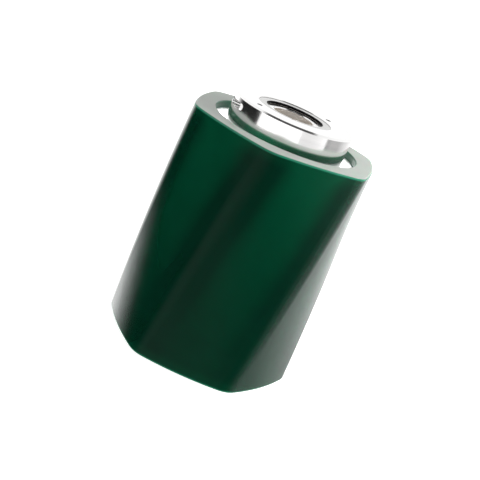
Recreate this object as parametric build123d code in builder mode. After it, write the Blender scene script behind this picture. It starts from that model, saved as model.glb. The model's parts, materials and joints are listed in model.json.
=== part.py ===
from build123d import *
import os

# Covered drive roller.  A twisted six-sided urethane cover is bonded to an aluminium core tube.
# A hub is fixed in each end of the core and carries a shielded ball bearing for a ground shaft.
# Millimetres.  The roller stands on the cover's lower end, its axis is +Z, origin at that end's centre.

# --- driving dimensions ---------------------------------------------------------------------------

# urethane cover
cover_length = 118.0
cover_faces = 6
cover_across_faces = 90.0
cover_bulge_radius = 125.0      # each face is an arc of this radius
cover_corner_radius = 12.5
cover_twist = 28.6              # degrees that the profile turns from the lower end to the upper end
cover_corner_angle = 26.7       # direction of one corner at the upper end, from +X
cover_rim_radius = 0.8
cover_bore_bevel = 0.5
cover_stations = 5              # profiles that the twisted surface passes through

# core tube
core_diameter = 72.4
core_wall = 8.2
core_recess = 3.4               # from each end of the cover in to the end of the core
core_mouth_bevel = 0.6

# hubs
hub_seat_width = 2.0            # radial width of the drive hub's seat on the core's end
hub_rise = 10.5                 # from the cover's upper end up to the hub's face
hub_bevel = 0.8
spigot_bevel = 0.6
spigot_length = 22.0            # part of the drive hub inside the core
lower_hub_length = 27.0
seat_bevel = 0.25

# clamp slots round the drive hub's head
slot_count = 2
slot_height = 3.1
slot_drop = 2.7                 # from the hub's face down to the slot
slot_depth = 4.0
slot_sweep = 40.0               # degrees from end to end
slot_end_angle = 217.0

# pin-spanner holes in the drive hub's face
spanner_count = 2
spanner_diameter = 2.6
spanner_circle = 46.4
spanner_depth = 5.0
spanner_angle = 45.0

# ball bearings
bearing_bore = 20.0
bearing_outside = 37.0
bearing_width = 9.0
ring_bevel = 0.5
ball_diameter = 4.76
ball_count = 11
land_gap = 2.7                  # radial gap between the lands of the two rings
shield_thickness = 0.4
shield_inset = 0.35
shield_seat = 0.5               # radial depth of the shield's seat in the outer ring
cage_wall = 1.5
cage_height = 6.0

# retaining rings
clip_thickness = 1.2
clip_width = 4.9                # radial
clip_inset = 0.4                # from the end face in to the ring
clip_groove_depth = 1.0
clip_groove_play = 0.1
clip_gap = 0.8                  # opening between the ring's ends
clip_gap_angle = 270.0

# preload spring, seals and locking pins
spring_height = 0.9
spring_thickness = 0.5
spring_width = 3.4
cord_diameter = 2.0             # O-ring section before it is squeezed
seal_groove_depth = 1.6
seal_groove_width = 2.6
seal_setback = 8.0              # from each end of the core in to the seal
pin_count = 3
pin_diameter = 5.0
pin_grip = 7.0                  # length of each pin held in its hub
pin_from_hub_end = 7.0
pin_shy = 0.3                   # pins end this far below the core's surface
pin_bevel = 0.4
sleeve_wall = 2.7

# clearances, radial
spigot_clearance = 0.03
seat_clearance = 0.02
race_clearance = 0.05
pocket_clearance = 0.10
shield_clearance = 0.30
shoulder_clearance = 1.30       # between each inner ring and the hub's shoulder
clip_clearance = 0.10
pin_clearance = 0.01

# --- sizes worked out from them -------------------------------------------------------------------

core_radius = core_diameter / 2
core_bore_radius = core_radius - core_wall
core_bottom = core_recess
core_top = cover_length - core_recess
spigot_radius = core_bore_radius - spigot_clearance
seal_floor_radius = core_bore_radius - seal_groove_depth

hub_radius = core_bore_radius + hub_seat_width
hub_face = cover_length + hub_rise
spigot_end = core_top - spigot_length
lower_hub_end = core_bottom + lower_hub_length

bore_radius = bearing_bore / 2
outside_radius = bearing_outside / 2
seat_radius = outside_radius + seat_clearance
pitch_radius = (bore_radius + outside_radius) / 2
ball_radius = ball_diameter / 2
inner_land = pitch_radius - land_gap / 2
outer_land = pitch_radius + land_gap / 2
shoulder_radius = inner_land + shoulder_clearance
clip_groove_radius = seat_radius + clip_groove_depth
clip_groove_width = clip_thickness + clip_groove_play
clip_radius = clip_groove_radius - clip_clearance
bearing_setback = clip_inset + clip_thickness
sleeve_radius = bore_radius + sleeve_wall

upper_bearing_top = hub_face - bearing_setback
upper_bearing_bottom = upper_bearing_top - bearing_width
lower_bearing_bottom = core_bottom + bearing_setback
lower_bearing_top = lower_bearing_bottom + bearing_width
lower_shoulder = lower_bearing_top + spring_height

pin_inner_end = spigot_radius - pin_grip
pin_outer_end = core_radius - pin_shy
pin_heights = {"upper": spigot_end + pin_from_hub_end, "lower": lower_hub_end - pin_from_hub_end}
pin_angles = {
    "upper": [360 * pin / pin_count for pin in range(pin_count)],
    "lower": [360 * (pin + 0.5) / pin_count for pin in range(pin_count)],
}
seal_heights = {"upper": core_top - seal_setback, "lower": core_bottom + seal_setback}
shield_room = shield_inset + shield_thickness

OUT_AND_UP = (Align.MIN, Align.MIN)


def half_plane(angle=0.0):
    """The plane through the axis at an angle from +X: x runs outwards and y runs up."""
    outwards = Vector(1, 0, 0).rotate(Axis.Z, angle)
    return Plane(origin=(0, 0, 0), x_dir=outwards, z_dir=outwards.cross(Vector(0, 0, 1)))


def spoke_plane(radius, height, angle):
    """The plane that faces outwards at a radius, a height and an angle."""
    outwards = Vector(1, 0, 0).rotate(Axis.Z, angle)
    return Plane(origin=outwards * radius + Vector(0, 0, height), x_dir=(0, 0, 1), z_dir=outwards)


def rim(piece, radius, height):
    """The round edges of a piece that lie at a radius and a height."""
    circles = piece.edges().filter_by(GeomType.CIRCLE)
    at_radius = circles.filter_by(lambda edge: abs(edge.radius - radius) < 0.01)
    return at_radius.filter_by(lambda edge: abs(edge.arc_center.Z - height) < 0.01)


def finish(piece, name):
    """Label a finished sub-part and write its STEP file."""
    piece.part.label = name
    export_step(piece.part, f"parts/{name}.step")


os.makedirs("parts", exist_ok=True)

# --- urethane cover -------------------------------------------------------------------------------

with BuildSketch() as cover_profile:
    for face in range(cover_faces):
        arc_centre = Vector(cover_across_faces / 2 - cover_bulge_radius, 0)
        with Locations(arc_centre.rotate(Axis.Z, 360 * face / cover_faces)):
            Circle(cover_bulge_radius, mode=Mode.INTERSECT if face else Mode.ADD)
    fillet(cover_profile.vertices(), cover_corner_radius)

with BuildPart() as urethane_cover:
    for station in range(cover_stations):
        share = station / (cover_stations - 1)
        turn = cover_corner_angle + 180 / cover_faces - cover_twist * (1 - share)
        with BuildSketch(Plane.XY.offset(cover_length * share).rotated((0, 0, turn))):
            add(cover_profile.sketch)
    loft()
    end_edges = urethane_cover.edges().group_by(Axis.Z)
    fillet(end_edges[0] + end_edges[-1], cover_rim_radius)
    with BuildSketch():
        Circle(core_radius)
    extrude(amount=cover_length, mode=Mode.SUBTRACT)
    chamfer(rim(urethane_cover, core_radius, 0) + rim(urethane_cover, core_radius, cover_length),
            cover_bore_bevel)

finish(urethane_cover, "urethane_cover")

# --- core tube, with radial holes for the locking pins --------------------------------------------

with BuildPart() as core_tube:
    with BuildSketch(Plane.XY.offset(core_bottom)):
        Circle(core_radius)
        Circle(core_bore_radius, mode=Mode.SUBTRACT)
    extrude(amount=core_top - core_bottom)
    chamfer(rim(core_tube, core_bore_radius, core_bottom) + rim(core_tube, core_bore_radius, core_top),
            core_mouth_bevel)
    for end, height in pin_heights.items():
        for angle in pin_angles[end]:
            with BuildSketch(spoke_plane(core_bore_radius - 1, height, angle)):
                Circle(pin_diameter / 2 + pin_clearance)
            extrude(amount=core_wall + 2, mode=Mode.SUBTRACT)

finish(core_tube, "core_tube")

# --- drive hub: head, spigot, bearing seat, clamp slots and spanner holes -------------------------

with BuildPart() as drive_hub:
    with BuildSketch(Plane.XY.offset(core_top)):
        Circle(hub_radius)
    extrude(amount=hub_face - core_top)
    chamfer(rim(drive_hub, hub_radius, hub_face), hub_bevel)
    with BuildSketch(Plane.XY.offset(spigot_end)):
        Circle(spigot_radius)
    extrude(amount=spigot_length)
    chamfer(rim(drive_hub, spigot_radius, spigot_end), spigot_bevel)
    with BuildSketch(half_plane()):
        with Locations((0, spigot_end)):
            Rectangle(shoulder_radius, hub_face - spigot_end, align=OUT_AND_UP)
        with Locations((0, upper_bearing_bottom)):
            Rectangle(seat_radius, hub_face - upper_bearing_bottom, align=OUT_AND_UP)
        with Locations((0, upper_bearing_top)):
            Rectangle(clip_groove_radius, clip_groove_width, align=OUT_AND_UP)
        with Locations((seal_floor_radius, seal_heights["upper"])):
            Rectangle(seal_groove_depth, seal_groove_width, align=(Align.MIN, Align.CENTER))
    revolve(axis=Axis.Z, mode=Mode.SUBTRACT)
    chamfer(rim(drive_hub, seat_radius, hub_face), seat_bevel)

    slot_middle = hub_face - slot_drop - slot_height / 2
    slot_floor = hub_radius - slot_depth
    for slot in range(slot_count):
        near_end = slot_end_angle + 360 * slot / slot_count
        far_end = near_end - slot_sweep
        with BuildSketch(half_plane(far_end)):
            with Locations((slot_floor, slot_middle)):
                Rectangle(slot_depth + 1, slot_height, align=(Align.MIN, Align.CENTER))
        revolve(axis=Axis.Z, revolution_arc=slot_sweep, mode=Mode.SUBTRACT)
        for angle in (near_end, far_end):
            with BuildSketch(spoke_plane(slot_floor, slot_middle, angle)):
                Circle(slot_height / 2)
            extrude(amount=slot_depth + 1, mode=Mode.SUBTRACT)

    with BuildSketch(Plane.XY.offset(hub_face)):
        with PolarLocations(spanner_circle / 2, spanner_count, spanner_angle):
            Circle(spanner_diameter / 2)
    extrude(amount=-spanner_depth, mode=Mode.SUBTRACT)
    for angle in pin_angles["upper"]:
        with BuildSketch(spoke_plane(pin_inner_end, pin_heights["upper"], angle)):
            Circle(pin_diameter / 2 + pin_clearance)
        extrude(amount=pin_grip + 1, mode=Mode.SUBTRACT)

finish(drive_hub, "drive_hub")

# --- lower hub, flush with the core ---------------------------------------------------------------

with BuildPart() as lower_hub:
    with BuildSketch(Plane.XY.offset(core_bottom)):
        Circle(spigot_radius)
    extrude(amount=lower_hub_length)
    chamfer(rim(lower_hub, spigot_radius, core_bottom) + rim(lower_hub, spigot_radius, lower_hub_end),
            spigot_bevel)
    with BuildSketch(half_plane()):
        with Locations((0, core_bottom)):
            Rectangle(shoulder_radius, lower_hub_length, align=OUT_AND_UP)
        with Locations((0, core_bottom)):
            Rectangle(seat_radius, lower_shoulder - core_bottom, align=OUT_AND_UP)
        with Locations((0, lower_bearing_bottom - clip_groove_width)):
            Rectangle(clip_groove_radius, clip_groove_width, align=OUT_AND_UP)
        with Locations((seal_floor_radius, seal_heights["lower"])):
            Rectangle(seal_groove_depth, seal_groove_width, align=(Align.MIN, Align.CENTER))
    revolve(axis=Axis.Z, mode=Mode.SUBTRACT)
    chamfer(rim(lower_hub, seat_radius, core_bottom), seat_bevel)
    for angle in pin_angles["lower"]:
        with BuildSketch(spoke_plane(pin_inner_end, pin_heights["lower"], angle)):
            Circle(pin_diameter / 2 + pin_clearance)
        extrude(amount=pin_grip + 1, mode=Mode.SUBTRACT)

finish(lower_hub, "lower_hub")

# --- the pieces that each end has: locking pins, seal, retaining ring and bearing -----------------

for end, bearing_bottom in (("upper", upper_bearing_bottom), ("lower", lower_bearing_bottom)):
    bearing_middle = bearing_bottom + bearing_width / 2
    bearing_top = bearing_bottom + bearing_width

    with BuildPart() as locking_pins:
        for angle in pin_angles[end]:
            with BuildSketch(spoke_plane(pin_inner_end, pin_heights[end], angle)):
                Circle(pin_diameter / 2)
            extrude(amount=pin_outer_end - pin_inner_end)
        chamfer(locking_pins.edges().filter_by(GeomType.CIRCLE), pin_bevel)

    with BuildPart() as seal:
        with BuildSketch(half_plane()):
            groove_middle = (seal_floor_radius + seal_groove_depth / 2, seal_heights[end])
            with Locations(groove_middle):
                Circle(cord_diameter / 2)
                Rectangle(seal_groove_depth, seal_groove_width, mode=Mode.INTERSECT)
        revolve(axis=Axis.Z)

    clip_bottom = bearing_top if end == "upper" else bearing_bottom - clip_thickness
    with BuildPart() as retaining_ring:
        with BuildSketch(Plane.XY.offset(clip_bottom)):
            Circle(clip_radius)
            Circle(clip_radius - clip_width, mode=Mode.SUBTRACT)
            with PolarLocations(clip_radius, 1, clip_gap_angle):
                Rectangle(3 * clip_width, clip_gap, mode=Mode.SUBTRACT)
        extrude(amount=clip_thickness)

    with BuildPart() as outer_ring:
        with BuildSketch(Plane.XY.offset(bearing_bottom)):
            Circle(outside_radius)
            Circle(outer_land, mode=Mode.SUBTRACT)
        extrude(amount=bearing_width)
        chamfer(rim(outer_ring, outside_radius, bearing_bottom) + rim(outer_ring, outside_radius, bearing_top),
                ring_bevel)
        with BuildSketch(half_plane()):
            with Locations((pitch_radius, bearing_middle)):
                Circle(ball_radius + race_clearance)
            for seat_bottom in (bearing_bottom, bearing_top - shield_room):
                with Locations((outer_land - 1, seat_bottom)):
                    Rectangle(shield_seat + 1, shield_room, align=OUT_AND_UP)
        revolve(axis=Axis.Z, mode=Mode.SUBTRACT)

    with BuildPart() as inner_ring:
        with BuildSketch(Plane.XY.offset(bearing_bottom)):
            Circle(inner_land)
            Circle(bore_radius, mode=Mode.SUBTRACT)
        extrude(amount=bearing_width)
        chamfer(rim(inner_ring, bore_radius, bearing_bottom) + rim(inner_ring, bore_radius, bearing_top),
                ring_bevel)
        with BuildSketch(half_plane()):
            with Locations((pitch_radius, bearing_middle)):
                Circle(ball_radius + race_clearance)
        revolve(axis=Axis.Z, mode=Mode.SUBTRACT)

    with BuildPart() as balls:
        with Locations(Plane.XY.offset(bearing_middle)):
            with PolarLocations(pitch_radius, ball_count):
                Sphere(ball_radius)

    with BuildPart() as cage:
        with BuildSketch(Plane.XY.offset(bearing_middle - cage_height / 2)):
            Circle(pitch_radius + cage_wall / 2)
            Circle(pitch_radius - cage_wall / 2, mode=Mode.SUBTRACT)
        extrude(amount=cage_height)
        for ball in range(ball_count):
            with BuildSketch(spoke_plane(pitch_radius - cage_wall, bearing_middle, 360 * ball / ball_count)):
                Circle(ball_radius + pocket_clearance)
            extrude(amount=2 * cage_wall, mode=Mode.SUBTRACT)

    for side, shield_bottom in (
        ("bottom", bearing_bottom + shield_inset),
        ("top", bearing_top - shield_inset - shield_thickness),
    ):
        with BuildPart() as shield:
            with BuildSketch(Plane.XY.offset(shield_bottom)):
                Circle(outer_land + shield_seat)
                Circle(inner_land + shield_clearance, mode=Mode.SUBTRACT)
            extrude(amount=shield_thickness)
        finish(shield, f"{end}_bearing_{side}_shield")

    finish(locking_pins, f"{end}_locking_pins")
    finish(seal, f"{end}_o_ring")
    finish(retaining_ring, f"{end}_retaining_ring")
    finish(outer_ring, f"{end}_bearing_outer_ring")
    finish(inner_ring, f"{end}_bearing_inner_ring")
    finish(balls, f"{end}_bearing_balls")
    finish(cage, f"{end}_bearing_cage")

# --- preload spring: its outer rim bears on the lower bearing, its inner rim on the hub's shoulder -

with BuildPart() as preload_spring:
    with BuildSketch(half_plane()):
        inner_rim = outside_radius - ring_bevel - spring_width
        outer_rim = outside_radius - ring_bevel
        with BuildLine():
            Polyline(
                (inner_rim, lower_shoulder - spring_thickness),
                (inner_rim, lower_shoulder),
                (outer_rim, lower_bearing_top + spring_thickness),
                (outer_rim, lower_bearing_top),
                close=True,
            )
        make_face()
    revolve(axis=Axis.Z)

finish(preload_spring, "preload_spring")

# --- spacer sleeve between the two inner rings ----------------------------------------------------

with BuildPart() as spacer_sleeve:
    with BuildSketch(Plane.XY.offset(lower_bearing_top)):
        Circle(sleeve_radius)
        Circle(bore_radius, mode=Mode.SUBTRACT)
    extrude(amount=upper_bearing_bottom - lower_bearing_top)

finish(spacer_sleeve, "spacer_sleeve")
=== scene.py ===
import json
import math

import bpy
import numpy as np
from mathutils import Matrix, Vector


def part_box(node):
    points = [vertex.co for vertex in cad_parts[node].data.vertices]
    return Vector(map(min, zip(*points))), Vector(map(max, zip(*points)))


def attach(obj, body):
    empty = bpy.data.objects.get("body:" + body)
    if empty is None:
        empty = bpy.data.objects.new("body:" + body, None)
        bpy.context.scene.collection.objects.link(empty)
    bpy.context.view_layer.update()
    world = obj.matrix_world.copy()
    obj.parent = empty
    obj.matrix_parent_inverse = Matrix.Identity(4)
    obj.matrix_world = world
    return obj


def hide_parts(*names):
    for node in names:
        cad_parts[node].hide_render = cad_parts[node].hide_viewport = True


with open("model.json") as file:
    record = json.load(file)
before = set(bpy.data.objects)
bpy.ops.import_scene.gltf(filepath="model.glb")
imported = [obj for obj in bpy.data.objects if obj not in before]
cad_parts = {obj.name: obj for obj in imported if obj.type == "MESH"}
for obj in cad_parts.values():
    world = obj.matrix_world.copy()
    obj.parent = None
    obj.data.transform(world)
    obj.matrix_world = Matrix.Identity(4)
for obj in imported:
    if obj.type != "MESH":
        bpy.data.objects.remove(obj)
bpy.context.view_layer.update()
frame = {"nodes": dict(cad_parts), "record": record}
nodes = frame["nodes"]
print("frame loaded:", len(nodes), "nodes")

# heights and a radius that the looks hang on, read from the frame (metres)
coreLow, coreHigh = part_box("core_tube")
coreTop = coreHigh[2]
coreRadius = coreHigh[0]
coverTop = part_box("urethane_cover")[1][2]
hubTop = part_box("drive_hub")[1][2]


def newGroup(name, inputs, outputs):
    # an empty shader group with its sockets, each given as (name, kind, starting value)
    tree = bpy.data.node_groups.new(name, "ShaderNodeTree")
    for label, kind, start in inputs:
        socket = tree.interface.new_socket(name=label, in_out="INPUT", socket_type="NodeSocket" + kind)
        if start is not None:
            socket.default_value = start
    for label, kind in outputs:
        tree.interface.new_socket(name=label, in_out="OUTPUT", socket_type="NodeSocket" + kind)
    return tree, tree.nodes.new("NodeGroupInput"), tree.nodes.new("NodeGroupOutput")


def addNode(tree, kind, values=None, **settings):
    # one node with its settings and its plain input values
    node = tree.nodes.new("ShaderNode" + kind)
    for key, value in settings.items():
        setattr(node, key, value)
    for key, value in (values or {}).items():
        node.inputs[key].default_value = value
    return node


def wire(tree, *pairs):
    # each pair is (output socket, input socket)
    for source, target in pairs:
        tree.links.new(source, target)


def axisDistance(tree, position):
    # the position split into X, Y and Z, and its distance from the roller's axis
    split = addNode(tree, "SeparateXYZ")
    flat = addNode(tree, "CombineXYZ")
    radius = addNode(tree, "VectorMath", operation="LENGTH")
    wire(tree,
         (position, split.inputs[0]),
         (split.outputs["X"], flat.inputs["X"]), (split.outputs["Y"], flat.inputs["Y"]),
         (flat.outputs[0], radius.inputs[0]))
    return split, radius


def paintOver(tree, under, colour, mask):
    # a plain colour laid over another where the mask is 1
    layer = addNode(tree, "Mix", data_type="RGBA")
    layer.inputs["B"].default_value = (*colour, 1)
    wire(tree, (under, layer.inputs["A"]), (mask, layer.inputs["Factor"]))
    return layer.outputs["Result"]


def makeTurnedGroup():
    # lathe marks: fine rings round the axis on a face, fine rings along the axis on a barrel
    tree, groupIn, groupOut = newGroup(
        "turnedMarks",
        [("Position", "Vector", None), ("Pitch", "Float", 2500.0), ("Face", "Float", 0.0)],
        [("Height", "Float"), ("Streak", "Float")])
    split, radius = axisDistance(tree, groupIn.outputs["Position"])
    choose = addNode(tree, "Mix", data_type="FLOAT")
    scaled = addNode(tree, "Math", operation="MULTIPLY")
    noise = addNode(tree, "TexNoise", {"Scale": 1.0, "Detail": 5.0, "Roughness": 0.7},
                    noise_dimensions="1D")
    slow = addNode(tree, "Math", {1: 0.06}, operation="MULTIPLY")
    streak = addNode(tree, "TexNoise", {"Scale": 1.0, "Detail": 2.0}, noise_dimensions="1D")
    wire(tree,
         (groupIn.outputs["Face"], choose.inputs["Factor"]),
         (split.outputs["Z"], choose.inputs["A"]), (radius.outputs["Value"], choose.inputs["B"]),
         (choose.outputs["Result"], scaled.inputs[0]), (groupIn.outputs["Pitch"], scaled.inputs[1]),
         (scaled.outputs[0], noise.inputs["W"]), (noise.outputs["Fac"], groupOut.inputs["Height"]),
         (scaled.outputs[0], slow.inputs[0]), (slow.outputs[0], streak.inputs["W"]),
         (streak.outputs["Fac"], groupOut.inputs["Streak"]))
    return tree


def makeDustGroup():
    # soft blotches of handling marks with sparse fine specks, both 0 to 1
    tree, groupIn, groupOut = newGroup(
        "handling",
        [("Position", "Vector", None), ("Size", "Float", 60.0), ("Specks", "Float", 0.3)],
        [("Smudge", "Float"), ("Speck", "Float")])
    blotch = addNode(tree, "TexNoise", {"Detail": 6.0, "Roughness": 0.6, "Distortion": 0.4})
    fine = addNode(tree, "TexVoronoi", {"Randomness": 1.0}, feature="F1")
    big = addNode(tree, "Math", {1: 22.0}, operation="MULTIPLY")
    near = addNode(tree, "MapRange", {"From Min": 0.16, "From Max": 0.05})
    some = addNode(tree, "Math", operation="MULTIPLY")
    wire(tree,
         (groupIn.outputs["Position"], blotch.inputs["Vector"]),
         (groupIn.outputs["Size"], blotch.inputs["Scale"]),
         (groupIn.outputs["Position"], fine.inputs["Vector"]),
         (groupIn.outputs["Size"], big.inputs[0]), (big.outputs[0], fine.inputs["Scale"]),
         (fine.outputs["Distance"], near.inputs["Value"]),
         (near.outputs["Result"], some.inputs[0]), (groupIn.outputs["Specks"], some.inputs[1]),
         (blotch.outputs["Fac"], groupOut.inputs["Smudge"]), (some.outputs[0], groupOut.inputs["Speck"]))
    return tree


def makeWearGroup():
    # rubbed edges: bevels and fillets lean between upright and flat, so a lean near 45 degrees marks them
    tree, groupIn, groupOut = newGroup(
        "rubbedEdges",
        [("Position", "Vector", None), ("Amount", "Float", 0.6)],
        [("Wear", "Float")])
    facing = addNode(tree, "NewGeometry")
    split = addNode(tree, "SeparateXYZ")
    lean = addNode(tree, "Math", operation="ABSOLUTE")
    rise = addNode(tree, "MapRange", {"From Min": 0.12, "From Max": 0.45})
    drop = addNode(tree, "MapRange", {"From Min": 0.97, "From Max": 0.85})
    both = addNode(tree, "Math", operation="MULTIPLY")
    patch = addNode(tree, "TexNoise", {"Scale": 260.0, "Detail": 4.0})
    patchy = addNode(tree, "MapRange", {"From Min": 0.35, "From Max": 0.6, "To Min": 0.35})
    worn = addNode(tree, "Math", operation="MULTIPLY")
    scaled = addNode(tree, "Math", operation="MULTIPLY")
    wire(tree,
         (facing.outputs["Normal"], split.inputs[0]), (split.outputs["Z"], lean.inputs[0]),
         (lean.outputs[0], rise.inputs["Value"]), (lean.outputs[0], drop.inputs["Value"]),
         (rise.outputs["Result"], both.inputs[0]), (drop.outputs["Result"], both.inputs[1]),
         (groupIn.outputs["Position"], patch.inputs["Vector"]),
         (patch.outputs["Fac"], patchy.inputs["Value"]),
         (both.outputs[0], worn.inputs[0]), (patchy.outputs["Result"], worn.inputs[1]),
         (worn.outputs[0], scaled.inputs[0]), (groupIn.outputs["Amount"], scaled.inputs[1]),
         (scaled.outputs[0], groupOut.inputs["Wear"]))
    return tree


turnedMarks = makeTurnedGroup()
rubbedEdges = makeWearGroup()
handling = makeDustGroup()
print("shader groups made")


def newMaterial(name):
    # an empty material with its Principled shader, output and Object coordinates
    material = bpy.data.materials.new(name)
    material.use_nodes = True
    tree = material.node_tree
    tree.nodes.clear()
    shader = tree.nodes.new("ShaderNodeBsdfPrincipled")
    output = tree.nodes.new("ShaderNodeOutputMaterial")
    place = tree.nodes.new("ShaderNodeTexCoord")
    tree.links.new(shader.outputs["BSDF"], output.inputs["Surface"])
    return material, tree, shader, place.outputs["Object"]


def placeGroup(tree, group, position, **values):
    # one use of a shared group, with its own values
    node = tree.nodes.new("ShaderNodeGroup")
    node.node_tree = group
    tree.links.new(position, node.inputs["Position"])
    for key, value in values.items():
        node.inputs[key].default_value = value
    return node


def ramp(tree, stops):
    # a colour ramp from (place, colour) stops
    node = addNode(tree, "ValToRGB")
    points = node.color_ramp.elements
    while len(points) < len(stops):
        points.new(0.5)
    for point, (at, colour) in zip(points, stops):
        point.position = at
        point.color = (*colour, 1.0)
    return node


urethane = {
    "deep": (0.0006, 0.020, 0.0100),      # over the corners, where the wall is thick
    "light": (0.0004, 0.050, 0.0215),     # over the faces, where the bright core shows through; it grows towards the upper end as painted light from above
    "rim": (0.012, 0.17, 0.10),           # painted highlight: the bright line along each end's outer edge
    "ground": (0.36, 0.40, 0.36),         # end faces, ground flat
    "wall": (0.004, 0.16, 0.075),         # the short wall round each recess
    "thin": 0.0450, "thick": 0.0471,      # radius at the middle of a face and near a corner
    "lowPaintedLight": 0.15, "topPaintedLight": 1.1,    # painted light from above: how much of the face colour shows at the lower and at the upper end
    "rimBand": (0.0014, 0.0005),          # the painted rim highlight fades in between these distances from an end
    "glowBand": 0.007, "glow": 0.5,       # light that the ground end lets in behind the rim
    "endSkin": (0.00022, 0.00008),        # how near an end counts as its ground face
    "wallSkin": (0.0007, 0.0002),         # how near the core's radius counts as the recess wall
    "cloudScale": 16.0, "cloudLift": (-0.08, 0.16),
    "endSmudge": 0.2,
    "sideRough": (0.06, 0.11), "endRough": 0.38,
    "rippleScale": 170.0, "rippleStrength": 0.012, "rippleHeight": 0.0004,
    "grindPitch": 1300.0, "grindStrength": 0.25, "grindHeight": 0.0002,
}


def makeUrethane():
    material, tree, shader, position = newMaterial("castUrethane")
    marks = placeGroup(tree, handling, position, Size=55.0, Specks=0.25)
    split, radius = axisDistance(tree, position)
    # distance in from the nearer end: 0 at an end, growing towards the middle
    middle = addNode(tree, "Math", {1: coverTop / 2}, operation="SUBTRACT")
    away = addNode(tree, "Math", operation="ABSOLUTE")
    inset = addNode(tree, "Math", {0: coverTop / 2}, operation="SUBTRACT")
    # mask of the painted rim highlight, close to each end
    rimMask = addNode(tree, "MapRange",
                      {"From Min": urethane["rimBand"][0], "From Max": urethane["rimBand"][1]},
                      interpolation_type="SMOOTHSTEP")
    glowMask = addNode(tree, "MapRange",
                       {"From Min": urethane["glowBand"], "From Max": 0.0, "To Max": urethane["glow"]},
                       interpolation_type="SMOOTHSTEP")
    thinMask = addNode(tree, "MapRange", {"From Min": urethane["thick"], "From Max": urethane["thin"]},
                       interpolation_type="SMOOTHSTEP")
    endMask = addNode(tree, "MapRange", {"From Min": urethane["endSkin"][0],
                                        "From Max": urethane["endSkin"][1]})
    boreMask = addNode(tree, "MapRange", {"From Min": coreRadius + urethane["wallSkin"][0],
                                         "From Max": coreRadius + urethane["wallSkin"][1]})
    cloud = addNode(tree, "TexNoise", {"Scale": urethane["cloudScale"], "Detail": 3.0, "Roughness": 0.5})
    lift = addNode(tree, "MapRange", {"From Min": 0.35, "From Max": 0.75, "To Min": urethane["cloudLift"][0],
                                     "To Max": urethane["cloudLift"][1]})
    # painted light from above: the face colour fades from the upper end down to the lower end
    paintedLightByHeight = addNode(tree, "MapRange", {"From Min": 0.02, "From Max": coverTop, "To Min": urethane["lowPaintedLight"],
                                     "To Max": urethane["topPaintedLight"]})
    thinLit = addNode(tree, "Math", operation="MULTIPLY")
    clouded = addNode(tree, "Math", operation="ADD")
    lifted = addNode(tree, "Math", operation="ADD", use_clamp=True)
    body = addNode(tree, "Mix", data_type="RGBA")
    body.inputs["A"].default_value = (*urethane["deep"], 1)
    body.inputs["B"].default_value = (*urethane["light"], 1)
    wire(tree,
         (split.outputs["Z"], middle.inputs[0]), (middle.outputs[0], away.inputs[0]),
         (away.outputs[0], inset.inputs[1]),
         (inset.outputs[0], rimMask.inputs["Value"]), (inset.outputs[0], glowMask.inputs["Value"]),
         (inset.outputs[0], endMask.inputs["Value"]), (radius.outputs["Value"], boreMask.inputs["Value"]),
         (radius.outputs["Value"], thinMask.inputs["Value"]),
         (position, cloud.inputs["Vector"]), (cloud.outputs["Fac"], lift.inputs["Value"]),
         (split.outputs["Z"], paintedLightByHeight.inputs["Value"]), (paintedLightByHeight.outputs["Result"], thinLit.inputs[0]),
         (thinMask.outputs["Result"], thinLit.inputs[1]),
         (lift.outputs["Result"], clouded.inputs[0]), (thinLit.outputs[0], clouded.inputs[1]),
         (clouded.outputs[0], lifted.inputs[0]), (glowMask.outputs["Result"], lifted.inputs[1]),
         (lifted.outputs[0], body.inputs["Factor"]))
    # painted highlight: the bright line along each end's outer edge
    colour = paintOver(tree, body.outputs["Result"], urethane["rim"], rimMask.outputs["Result"])
    colour = paintOver(tree, colour, urethane["wall"], boreMask.outputs["Result"])
    colour = paintOver(tree, colour, urethane["ground"], endMask.outputs["Result"])
    smudged = addNode(tree, "Mix", data_type="RGBA", blend_type="MULTIPLY")
    smudged.inputs["Factor"].default_value = urethane["endSmudge"]
    wire(tree,
         (colour, smudged.inputs["A"]), (marks.outputs["Smudge"], smudged.inputs["B"]),
         (smudged.outputs["Result"], shader.inputs["Base Color"]))
    # polished on the sides, dull where it was ground
    smear = addNode(tree, "MapRange", {"From Min": 0.35, "From Max": 0.7, "To Min": urethane["sideRough"][0],
                                      "To Max": urethane["sideRough"][1]})
    rough = addNode(tree, "Mix", data_type="FLOAT")
    rough.inputs["B"].default_value = urethane["endRough"]
    dull = addNode(tree, "Math", operation="MAXIMUM")
    ripple = addNode(tree, "TexNoise", {"Scale": urethane["rippleScale"], "Detail": 2.0})
    bump = addNode(tree, "Bump", {"Strength": urethane["rippleStrength"],
                                 "Distance": urethane["rippleHeight"]})
    grind = placeGroup(tree, turnedMarks, position, Pitch=urethane["grindPitch"], Face=1.0)
    grinding = addNode(tree, "Math", operation="MULTIPLY")
    endBump = addNode(tree, "Bump", {"Strength": urethane["grindStrength"],
                                    "Distance": urethane["grindHeight"]})
    wire(tree,
         (marks.outputs["Smudge"], smear.inputs["Value"]), (smear.outputs["Result"], rough.inputs["A"]),
         (endMask.outputs["Result"], dull.inputs[0]), (boreMask.outputs["Result"], dull.inputs[1]),
         (dull.outputs[0], rough.inputs["Factor"]), (rough.outputs["Result"], shader.inputs["Roughness"]),
         (position, ripple.inputs["Vector"]), (ripple.outputs["Fac"], bump.inputs["Height"]),
         (grind.outputs["Height"], grinding.inputs[0]), (endMask.outputs["Result"], grinding.inputs[1]),
         (grinding.outputs[0], endBump.inputs["Height"]), (bump.outputs["Normal"], endBump.inputs["Normal"]),
         (endBump.outputs["Normal"], shader.inputs["Normal"]))
    shader.inputs["IOR"].default_value = 1.5
    shader.inputs["Subsurface Weight"].default_value = 0.5
    shader.inputs["Subsurface Radius"].default_value = (0.25, 1.0, 0.55)
    shader.inputs["Subsurface Scale"].default_value = 0.004
    return material


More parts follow.
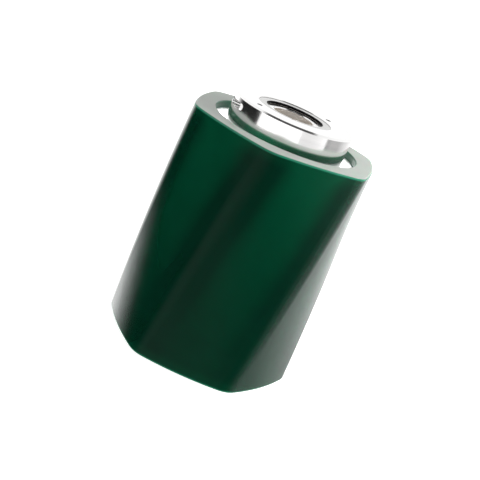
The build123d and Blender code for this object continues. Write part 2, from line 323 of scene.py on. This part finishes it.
metals = {
    # tone and roughness of faces and of walls, lathe marks per metre and their relief
    "mirrorSteel": {
        "tone": (0.94, 0.935, 0.93), "wallTone": (0.94, 0.93, 0.925),
        "face": 0.06, "barrel": 0.13, "pitch": 2600.0, "relief": 0.02, "drilled": (0.0218, 0.0246)},
    "turnedAluminium": {
        "tone": (0.96, 0.96, 0.95), "wallTone": (0.90, 0.90, 0.89),
        "face": 0.38, "barrel": 0.3, "pitch": 1500.0, "relief": 0.10},
    "turnedSteel": {
        "tone": (0.62, 0.61, 0.59), "wallTone": (0.66, 0.64, 0.61),
        "face": 0.24, "barrel": 0.30, "pitch": 1900.0, "relief": 0.10},
    "groundSteel": {
        "tone": (0.95, 0.94, 0.93), "wallTone": (0.93, 0.88, 0.82),
        "face": 0.10, "barrel": 0.42, "pitch": 3800.0, "relief": 0.03},
    "shieldSteel": {
        "tone": (0.96, 0.96, 0.95), "wallTone": (0.8, 0.8, 0.79),
        "face": 0.42, "barrel": 0.2, "pitch": 1200.0, "relief": 0.04},
    "springSteel": {
        # walls painted near black: painted shade for the shadowed gap inside the retaining ring
        "tone": (0.58, 0.58, 0.57), "wallTone": (0.012, 0.012, 0.014),
        "face": 0.2, "barrel": 0.35, "pitch": 1700.0, "relief": 0.05},
}
metalMarks = {
    "faceLean": 0.5,                      # a surface flatter than this is a face, a steeper one a wall
    "smudgeSize": 70.0, "specks": 0.3,
    "streak": (0.8, 0.8, 0.8), "worn": (0.97, 0.97, 0.96), "wear": 0.5,
    # near black painted onto the walls of the drilled holes, standing in for their shade
    "holeShadeTone": (0.01, 0.01, 0.01),
    "markHeight": 0.0002,
}


def makeMetal(name, tone, wallTone, face, barrel, pitch, relief, drilled=None):
    material, tree, shader, position = newMaterial(name)
    facing = addNode(tree, "NewGeometry")
    upward = addNode(tree, "SeparateXYZ")
    flatness = addNode(tree, "Math", operation="ABSOLUTE")
    faceMask = addNode(tree, "Math", {1: metalMarks["faceLean"]}, operation="GREATER_THAN")
    turned = placeGroup(tree, turnedMarks, position, Pitch=pitch)
    marks = placeGroup(tree, handling, position,
                       Size=metalMarks["smudgeSize"], Specks=metalMarks["specks"])
    # faces take tone and walls wallTone; the spring steel's near-black wallTone is painted shade
    base = addNode(tree, "Mix", data_type="RGBA")
    base.inputs["A"].default_value = (*wallTone, 1)
    base.inputs["B"].default_value = (*tone, 1)
    tint = addNode(tree, "Mix", data_type="RGBA", blend_type="MULTIPLY")
    tint.inputs["B"].default_value = (*metalMarks["streak"], 1)
    finish = addNode(tree, "Mix", {"A": barrel, "B": face}, data_type="FLOAT")
    spread = addNode(tree, "MapRange", {"From Min": 0.3, "From Max": 0.8, "To Min": 0.85, "To Max": 1.3})
    rough = addNode(tree, "Math", operation="MULTIPLY")
    shade = addNode(tree, "MapRange", {"From Min": 0.5, "From Max": 0.85, "To Max": 0.5})
    both = addNode(tree, "Math", operation="MAXIMUM")
    bump = addNode(tree, "Bump", {"Strength": relief, "Distance": metalMarks["markHeight"]})
    wire(tree,
         (facing.outputs["Normal"], upward.inputs[0]), (upward.outputs["Z"], flatness.inputs[0]),
         (flatness.outputs[0], faceMask.inputs[0]), (faceMask.outputs[0], turned.inputs["Face"]),
         (faceMask.outputs[0], finish.inputs["Factor"]), (faceMask.outputs[0], base.inputs["Factor"]),
         (turned.outputs["Streak"], shade.inputs["Value"]), (shade.outputs["Result"], both.inputs[0]),
         (marks.outputs["Speck"], both.inputs[1]), (both.outputs[0], tint.inputs["Factor"]),
         (base.outputs["Result"], tint.inputs["A"]),
         (marks.outputs["Smudge"], spread.inputs["Value"]), (spread.outputs["Result"], rough.inputs[0]),
         (finish.outputs["Result"], rough.inputs[1]), (rough.outputs[0], shader.inputs["Roughness"]),
         (turned.outputs["Height"], bump.inputs["Height"]),
         (bump.outputs["Normal"], shader.inputs["Normal"]))
    edges = placeGroup(tree, rubbedEdges, position, Amount=metalMarks["wear"])
    colour = paintOver(tree, tint.outputs["Result"], metalMarks["worn"], edges.outputs["Wear"])
    if drilled:
        # painted shade inside the drilled holes: their walls, found by their distance from the axis, are
        # painted near black
        radius = axisDistance(tree, position)[1]
        past = addNode(tree, "Math", {1: drilled[0]}, operation="GREATER_THAN")
        short = addNode(tree, "Math", {1: drilled[1]}, operation="LESS_THAN")
        between = addNode(tree, "Math", operation="MULTIPLY")
        wall = addNode(tree, "Math", {0: 1.0}, operation="SUBTRACT")
        inside = addNode(tree, "Math", operation="MULTIPLY")
        wire(tree,
             (radius.outputs["Value"], past.inputs[0]), (radius.outputs["Value"], short.inputs[0]),
             (past.outputs[0], between.inputs[0]), (short.outputs[0], between.inputs[1]),
             (faceMask.outputs[0], wall.inputs[1]),
             (wall.outputs[0], inside.inputs[0]), (between.outputs[0], inside.inputs[1]))
        colour = paintOver(tree, colour, metalMarks["holeShadeTone"], inside.outputs[0])
    tree.links.new(colour, shader.inputs["Base Color"])
    shader.inputs["Metallic"].default_value = 1.0
    return material


softFinishes = {
    # tone, tone where rubbed, range of roughness, and pores per metre
    "sealRubber": {"tone": (0.018, 0.018, 0.019), "worn": (0.05, 0.05, 0.05), "rough": (0.45, 0.62),
                   "grain": 900.0},
    "cageNylon": {"tone": (0.62, 0.55, 0.41), "worn": (0.70, 0.65, 0.54), "rough": (0.38, 0.5),
                  "grain": 500.0},
}


def makeSoft(name, tone, worn, rough, grain):
    material, tree, shader, position = newMaterial(name)
    marks = placeGroup(tree, handling, position, Size=120.0, Specks=0.2)
    tint = addNode(tree, "Mix", data_type="RGBA")
    tint.inputs["A"].default_value = (*tone, 1)
    tint.inputs["B"].default_value = (*worn, 1)
    edges = placeGroup(tree, rubbedEdges, position, Amount=0.5)
    most = addNode(tree, "Math", operation="MAXIMUM")
    spread = addNode(tree, "MapRange", {"From Min": 0.3, "From Max": 0.7, "To Min": rough[0],
                                       "To Max": rough[1]})
    pores = addNode(tree, "TexNoise", {"Scale": grain, "Detail": 3.0})
    bump = addNode(tree, "Bump", {"Strength": 0.2, "Distance": 0.0001})
    wire(tree,
         (marks.outputs["Smudge"], most.inputs[0]), (edges.outputs["Wear"], most.inputs[1]),
         (most.outputs[0], tint.inputs["Factor"]), (tint.outputs["Result"], shader.inputs["Base Color"]),
         (marks.outputs["Smudge"], spread.inputs["Value"]),
         (spread.outputs["Result"], shader.inputs["Roughness"]),
         (position, pores.inputs["Vector"]), (pores.outputs["Fac"], bump.inputs["Height"]),
         (bump.outputs["Normal"], shader.inputs["Normal"]))
    return material


finishes = {"green_urethane": makeUrethane()}
for slotName, finishName in (("polished_steel", "mirrorSteel"), ("aluminium", "turnedAluminium"),
                             ("turned_steel", "turnedSteel"), ("bearing_steel", "groundSteel"),
                             ("shield_steel", "shieldSteel"), ("spring_steel", "springSteel")):
    finishes[slotName] = makeMetal(finishName, **metals[finishName])
for slotName, finishName in (("black_rubber", "sealRubber"), ("cage_nylon", "cageNylon")):
    finishes[slotName] = makeSoft(finishName, **softFinishes[finishName])

for entry in frame["record"]["subparts"]:
    node = nodes[entry["node"]]
    for index in range(len(node.material_slots)):
        node.material_slots[index].material = finishes[entry["material_slot"]]
print("finishes on:", len(finishes))


sharpAngle = math.radians(40)    # corners of a profile sharper than this stay crisp


def turnedPiece(name, profile, around, ripple=0.0):
    # closed profile (radius, height) carried round the axis: x = r cos t, y = r sin t, z = h,
    # with r += ripple * (sin 5t + sin(13t + 1)) / 2; the profile runs anticlockwise, so faces point outwards
    outline = np.asarray(profile)
    turn = np.linspace(0, 2 * np.pi, around, endpoint=False)
    wave = ripple * (np.sin(5 * turn) + np.sin(13 * turn + 1.0)) / 2
    r = outline[None, :, 0] + wave[:, None]
    z = np.broadcast_to(outline[None, :, 1], r.shape)
    points = np.stack([r * np.cos(turn)[:, None], r * np.sin(turn)[:, None], z], -1).reshape(-1, 3)
    row, col = np.meshgrid(np.arange(around), np.arange(len(outline)), indexing="ij")
    nextRow, nextCol = (row + 1) % around, (col + 1) % len(outline)
    here, nextOver = row * len(outline), nextRow * len(outline)
    quads = np.stack([here + col, nextOver + col, nextOver + nextCol, here + nextCol], -1)
    mesh = bpy.data.meshes.new(name)
    mesh.from_pydata(points, [], quads.reshape(-1, 4).tolist())
    mesh.polygons.foreach_set("use_smooth", np.ones(len(mesh.polygons), bool))
    mesh.set_sharp_from_angle(angle=sharpAngle)
    piece = bpy.data.objects.new(name, mesh)
    bpy.context.scene.collection.objects.link(piece)
    return piece


shieldPress = {
    "inner": 0.0132, "sheet": 0.00018,                      # inner radius and thickness
    "step": 0.00016, "stepAt": 0.62, "stepSoft": 0.045,     # height, place and softness of the pressed step
    "lip": 0.00022, "lipSpread": 0.06,                      # the thickened inner lip
    "gap": 0.00001, "along": 25, "around": 256,
}


def makeShield(node, faceUp):
    # sheet steel pressed to a step: along the radius the height is a smooth step 1 / (1 + exp(-x)) up
    # from the inner lip, and the lip itself is a bell curve exp(-x * x) added underneath
    low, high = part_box(node)
    gap = shieldPress["gap"]
    outer = high[0] - gap
    along = np.linspace(0, 1, shieldPress["along"])
    radius = shieldPress["inner"] + (outer - shieldPress["inner"]) * along
    rise = shieldPress["step"] / (1 + np.exp(-(along - shieldPress["stepAt"]) / shieldPress["stepSoft"]))
    lip = shieldPress["lip"] * np.exp(-(along / shieldPress["lipSpread"]) ** 2)
    top = np.minimum(high[2] - low[2] - 2 * gap, shieldPress["sheet"] + rise + 2 * gap)
    under = np.maximum(gap, top - shieldPress["sheet"] - lip)
    upper = np.stack([radius, top], -1)[::-1]
    lower = np.stack([radius, under], -1)
    loop = np.concatenate([lower, upper])
    if faceUp:
        loop[:, 1] += low[2]
    else:
        loop[:, 1] = high[2] - loop[:, 1]
        loop = loop[::-1]
    piece = turnedPiece(node + "_pressed", loop, shieldPress["around"])
    piece.data.materials.append(finishes["shield_steel"])
    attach(piece, "roller")
    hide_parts(node)


for shieldEnd in ("upper", "lower"):
    makeShield(shieldEnd + "_bearing_top_shield", True)
    makeShield(shieldEnd + "_bearing_bottom_shield", False)

bondBead = {"width": 0.0005, "height": 0.0004, "ripple": 0.00004, "gap": 0.00002, "steps": 8,
            "around": 360}


def makeBondBead(name, level, upward):
    # a hollow fillet where the cover meets the end of the core: a quarter ellipse cut from a corner
    t = np.linspace(0, np.pi / 2, bondBead["steps"])
    wall = coreRadius - bondBead["gap"]
    r = wall - bondBead["width"] * (1 - np.sin(t))
    h = bondBead["height"] * (1 - np.cos(t))
    loop = np.concatenate([[[wall, 0.0]], np.stack([r, h], -1)[::-1]])
    loop[:, 1] = level + (loop[:, 1] if upward else -loop[:, 1])
    piece = turnedPiece(name, loop if upward else loop[::-1], bondBead["around"], bondBead["ripple"])
    piece.data.materials.append(finishes["green_urethane"])
    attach(piece, "roller")


makeBondBead("upperBondBead", coreTop + bondBead["gap"], True)
makeBondBead("lowerBondBead", coreLow[2] - bondBead["gap"], False)
print("shields and bond beads made")


cameraSetup = {"focal": 72.55, "distance": 0.4817, "elevation": 18.58, "roll": 23.5,
               "aimHeight": coverTop / 2, "nearest": 0.01}


def makeCamera(focal, distance, elevation, roll, aimHeight, nearest):
    # a camera on the -Y side, looking at a point on the axis
    tilt = math.radians(elevation)
    back = Vector((0, -math.cos(tilt), math.sin(tilt)))
    upward = Vector((0, math.sin(tilt), math.cos(tilt)))
    level = Matrix((Vector((1, 0, 0)), upward, back)).transposed()
    turn = level @ Matrix.Rotation(math.radians(roll), 3, "Z")
    camera = bpy.data.objects.new("camera", bpy.data.cameras.new("camera"))
    camera.data.lens = focal
    camera.data.clip_start = nearest
    camera.matrix_world = Matrix.Translation(Vector((0, 0, aimHeight)) + back * distance) @ turn.to_4x4()
    bpy.context.scene.collection.objects.link(camera)
    bpy.context.scene.camera = camera


makeCamera(**cameraSetup)

studio = {
    "backdrop": 1.1,                      # what the camera sees behind the roller
    # brightness round the horizon, as (degrees from the camera's side, growing to the right; brightness),
    # once for mirror reflections and once for light that fills in
    "reflected": [(-180, 1.2), (-150, 2.0), (-138, 2.0), (-127, 1.1), (-119, 0.4), (-112, 0.05), (-105, 0.0),
                  (-66, 0.01), (-54, 0.10), (-40, 0.16), (-18, 0.14), (-5, 0.10), (12, 0.07), (22, 0.03),
                  (34, 0.01), (43, 0.02), (54, 0.06), (66, 0.17), (78, 0.36), (90, 0.5), (110, 0.5),
                  (126, 0.75), (150, 1.0), (180, 1.2)],
    "filling": [(-180, 0.9), (-125, 5.0), (-95, 5.0), (-70, 2.0), (-50, 0.3), (-25, 0.1), (10, 0.2),
                (50, 1.2), (100, 1.9), (180, 0.9)],
    # brightness of the roof, from behind the roller (0) to above the camera (1), where a dark card hangs
    "overhead": [(0.0, 1.05), (0.82, 0.95), (0.93, 0.12), (1.0, 0.08)],
    "fillOverhead": [(0.0, 0.7), (1.0, 0.7)],
    "roofFrom": 0.2,                      # the roof takes over from the horizon up to this height
    "roofLean": 0.6,                      # how far the roof's ramp leans towards the camera
    "strongest": 2.0,                     # a ramp holds shares of this brightness
}


def makeSurroundings():
    # one surrounding for mirror rays, one for all other light, and a plain backdrop for the camera
    world = bpy.data.worlds.new("studio")
    bpy.context.scene.world = world
    world.use_nodes = True
    tree = world.node_tree
    tree.nodes.clear()
    place = addNode(tree, "TexCoord")
    split = addNode(tree, "SeparateXYZ")
    turn = addNode(tree, "Math", operation="ARCTAN2")
    share = addNode(tree, "MapRange", {"From Min": -math.pi, "From Max": math.pi})
    minus = addNode(tree, "Math", {1: -1.0}, operation="MULTIPLY")
    up = addNode(tree, "MapRange", {"From Max": studio["roofFrom"]})
    lean = addNode(tree, "Math", {1: studio["roofLean"]}, operation="MULTIPLY_ADD")
    seen = addNode(tree, "LightPath")
    plain = addNode(tree, "Background", {"Color": (1, 1, 1, 1), "Strength": studio["backdrop"]})
    wire(tree,
         (place.outputs["Generated"], split.inputs[0]), (split.outputs["X"], turn.inputs[0]),
         (split.outputs["Y"], minus.inputs[0]), (minus.outputs[0], turn.inputs[1]),
         (turn.outputs[0], share.inputs["Value"]), (split.outputs["Z"], up.inputs["Value"]),
         (minus.outputs[0], lean.inputs[0]), (split.outputs["Z"], lean.inputs[2]))
    strongest = studio["strongest"]
    parts = []
    for horizon, above in (("reflected", "overhead"), ("filling", "fillOverhead")):
        around = ramp(tree, [((angle + 180) / 360, (value / strongest,) * 3)
                             for angle, value in studio[horizon]])
        sky = addNode(tree, "Mix", data_type="RGBA")
        roof = ramp(tree, [(at, (value / strongest,) * 3) for at, value in studio[above]])
        lit = addNode(tree, "Background", {"Strength": strongest})
        wire(tree,
             (share.outputs["Result"], around.inputs[0]), (up.outputs["Result"], sky.inputs["Factor"]),
             (lean.outputs[0], roof.inputs[0]), (roof.outputs["Color"], sky.inputs["B"]),
             (around.outputs["Color"], sky.inputs["A"]), (sky.outputs["Result"], lit.inputs["Color"]))
        parts.append(lit)
    mirror = addNode(tree, "MixShader")
    choose = addNode(tree, "MixShader")
    output = addNode(tree, "OutputWorld")
    wire(tree,
         (seen.outputs["Is Glossy Ray"], mirror.inputs["Fac"]),
         (parts[1].outputs[0], mirror.inputs[1]), (parts[0].outputs[0], mirror.inputs[2]),
         (seen.outputs["Is Camera Ray"], choose.inputs["Fac"]),
         (mirror.outputs[0], choose.inputs[1]), (plain.outputs[0], choose.inputs[2]),
         (choose.outputs[0], output.inputs["Surface"]))


makeSurroundings()


def makePanel(name, centre, aim, width, height, power, only=(), mirrored=True):
    # a soft panel, out of the camera's sight; only= keeps its light to a few pieces, and mirrored=False
    # keeps it out of reflections
    lamp = bpy.data.lights.new(name, "AREA")
    lamp.shape = "RECTANGLE"
    lamp.size = width
    lamp.size_y = height
    lamp.energy = power
    panel = bpy.data.objects.new(name, lamp)
    panel.location = centre
    panel.rotation_euler = (Vector(aim) - Vector(centre)).to_track_quat("-Z", "Y").to_euler()
    panel.visible_camera = False
    panel.visible_glossy = mirrored
    bpy.context.scene.collection.objects.link(panel)
    if only:
        group = bpy.data.collections.new(name + "Pieces")
        for piece in only:
            group.objects.link(nodes[piece])
        panel.light_linking.receiver_collection = group


def aroundHub(azimuth, drop, distance):
    # a point at that many degrees round from the camera's side and below the hub's middle
    turn, fall = math.radians(azimuth), math.radians(drop)
    return (distance * math.cos(fall) * math.sin(turn), -distance * math.cos(fall) * math.cos(turn),
            hubMiddle[2] - distance * math.sin(fall))


hubMiddle = (0, 0, (coreTop + hubTop) / 2)
# the front and right panels brighten the hub's barrel, the side box lights the upper right of the cover,
# and the last two lift the recess floor and the bearing's inner ring
panels = {
    "frontPanel": {"centre": aroundHub(-16, 20, 0.6), "aim": hubMiddle, "width": 1.0, "height": 0.7,
                   "power": 2.5, "only": ("drive_hub",)},
    "rightPanel": {"centre": aroundHub(50, 20, 0.6), "aim": hubMiddle, "width": 0.58, "height": 0.7,
                   "power": 1.1, "only": ("drive_hub",)},
    "sideBox": {"centre": (0.24, -0.02, 0.23), "aim": (0.02, 0, coverTop), "width": 0.14, "height": 0.14,
                "power": 1.0, "mirrored": False},
    "recessPanel": {"centre": (-0.08, 0.46, 0.30), "aim": hubMiddle, "width": 0.5, "height": 0.4,
                    "power": 2.6, "only": ("core_tube",)},
    "borePanel": {"centre": (0.03, -0.14, 0.42), "aim": (0, 0, hubTop), "width": 0.1, "height": 0.1,
                  "power": 1.0, "only": ("upper_bearing_inner_ring",)},
}
for panelName, panelSetup in panels.items():
    makePanel(panelName, **panelSetup)

floorSheet = {"reach": 6.0, "level": -0.0002, "tone": (0.9, 0.9, 0.9), "rough": 0.9, "glow": 0.65}


def makeFloor():
    # one flat square sheet just under the roller
    mesh = bpy.data.meshes.new("floor")
    reach = floorSheet["reach"]
    corners = [(-reach, -reach), (reach, -reach), (reach, reach), (-reach, reach)]
    mesh.from_pydata([(x, y, floorSheet["level"]) for x, y in corners], [], [(0, 1, 2, 3)])
    floor = bpy.data.objects.new("floor", mesh)
    bpy.context.scene.collection.objects.link(floor)
    material, _, shader, _ = newMaterial("paleFloor")
    shader.inputs["Base Color"].default_value = (*floorSheet["tone"], 1)
    shader.inputs["Roughness"].default_value = floorSheet["rough"]
    shader.inputs["Specular IOR Level"].default_value = 0.0
    shader.inputs["Emission Color"].default_value = (1, 1, 1, 1)
    shader.inputs["Emission Strength"].default_value = floorSheet["glow"]
    mesh.materials.append(material)
    floor.visible_glossy = False


makeFloor()
bpy.context.scene.view_settings.view_transform = "Standard"
print("camera, surroundings and floor set")
